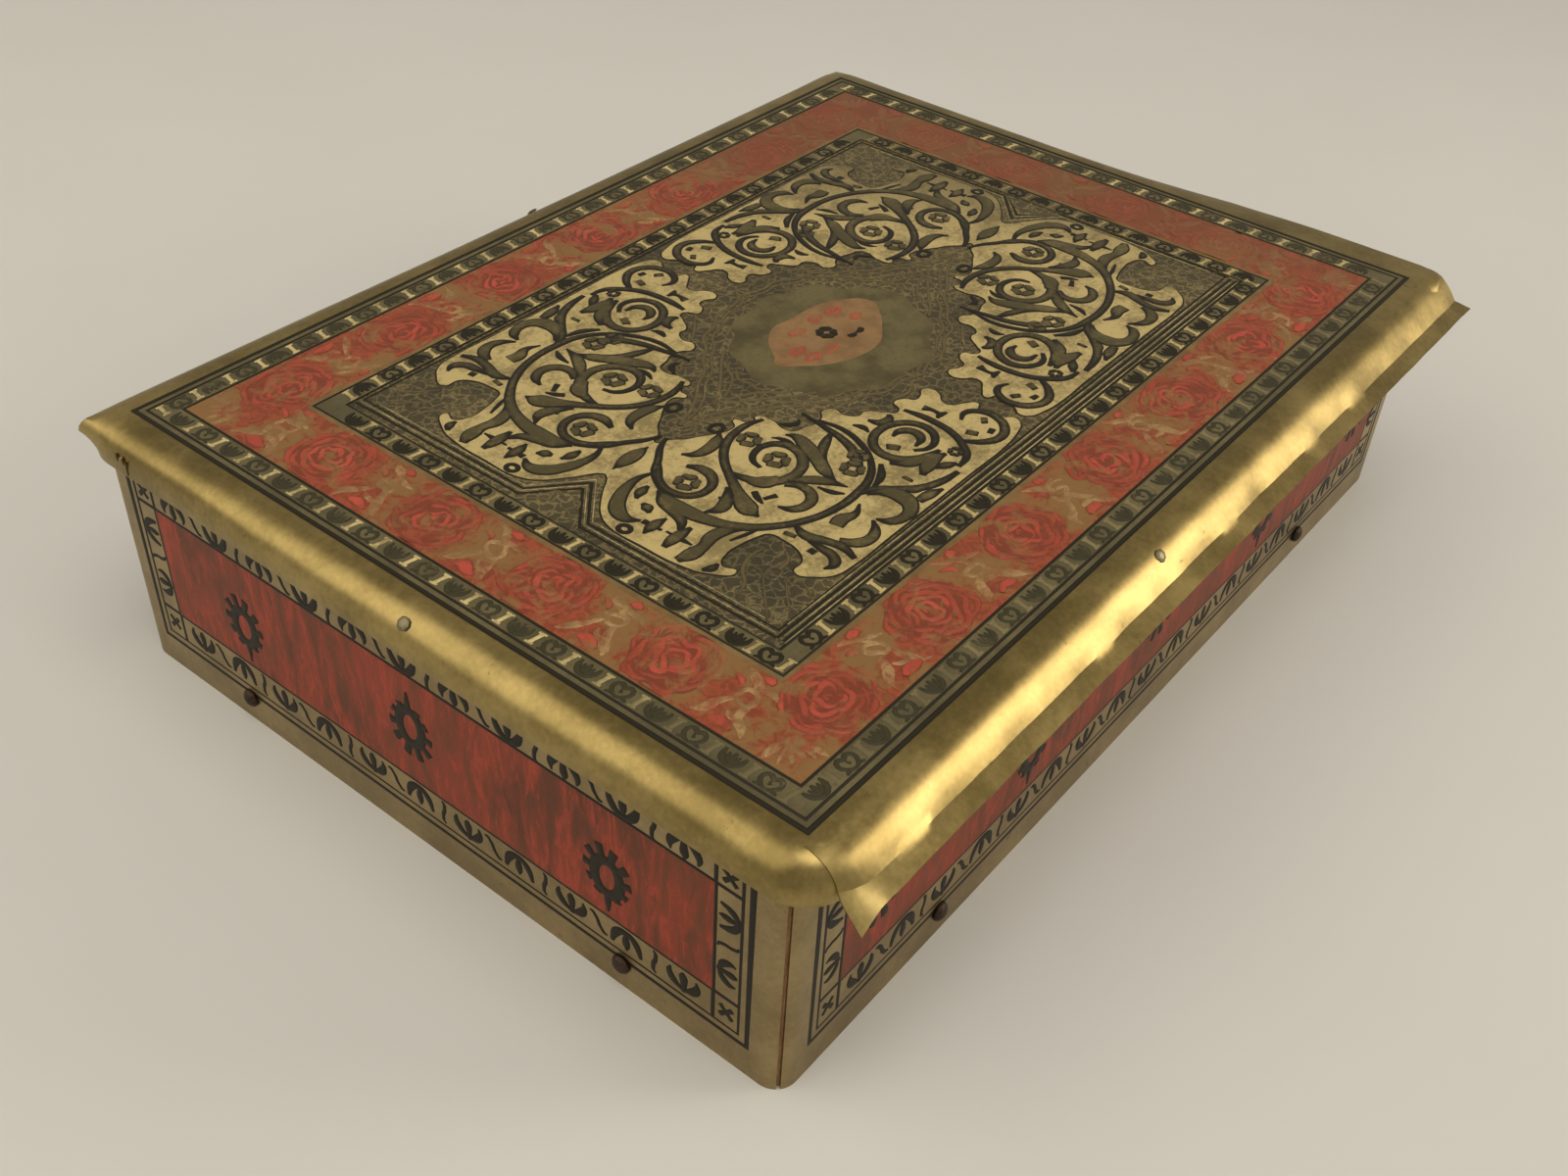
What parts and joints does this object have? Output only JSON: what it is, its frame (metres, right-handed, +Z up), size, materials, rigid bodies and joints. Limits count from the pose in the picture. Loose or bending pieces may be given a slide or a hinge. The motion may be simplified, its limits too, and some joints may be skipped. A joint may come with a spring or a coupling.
{
  "type": "cigarette box",
  "caption": "Low brass-clad wooden cigarette box with a hinged lid, rolled lid edges, a thumb lip and printed ornament",
  "frame": {"origin": "centre of the flat underside", "axes": "+Z up, +X along the length, -Y towards the thumb lip at the front, +Y towards the hinges"},
  "size_m": [0.1433, 0.1094, 0.0337],
  "materials": {
    "printed_brass": "sheet brass, tarnished, with black and red print",
    "plain_brass": "plain brass, dull",
    "dark_iron": "blackened iron",
    "carcase_wood": "plain sawn softwood",
    "inner_wood": "cedar, unvarnished"
  },
  "bodies": {
    "body": {"base_board": "carcase_wood", "wall_front": "carcase_wood", "wall_back": "carcase_wood", "wall_left": "carcase_wood", "wall_right": "carcase_wood", "divider": "inner_wood", "side_cladding": "printed_brass", "body_nails": "dark_iron", "hinge_left_body_leaf": "plain_brass", "hinge_left_pin": "dark_iron", "hinge_right_body_leaf": "plain_brass", "hinge_right_pin": "dark_iron", "hinge_body_nails": "plain_brass"},
    "lid": {"lid_board": "carcase_wood", "lid_shell": "printed_brass", "lid_liner": "inner_wood", "lid_pins": "plain_brass", "hinge_left_lid_leaf": "plain_brass", "hinge_right_lid_leaf": "plain_brass", "hinge_lid_nails": "plain_brass"}
  },
  "joints": [
    {"name": "lid_hinge", "type": "hinge", "parent": "body", "child": "lid", "pos_m": [0, 0.0513, 0.0283], "axis": [-1, 0, 0], "range_deg": [0, 130]}
  ]
}
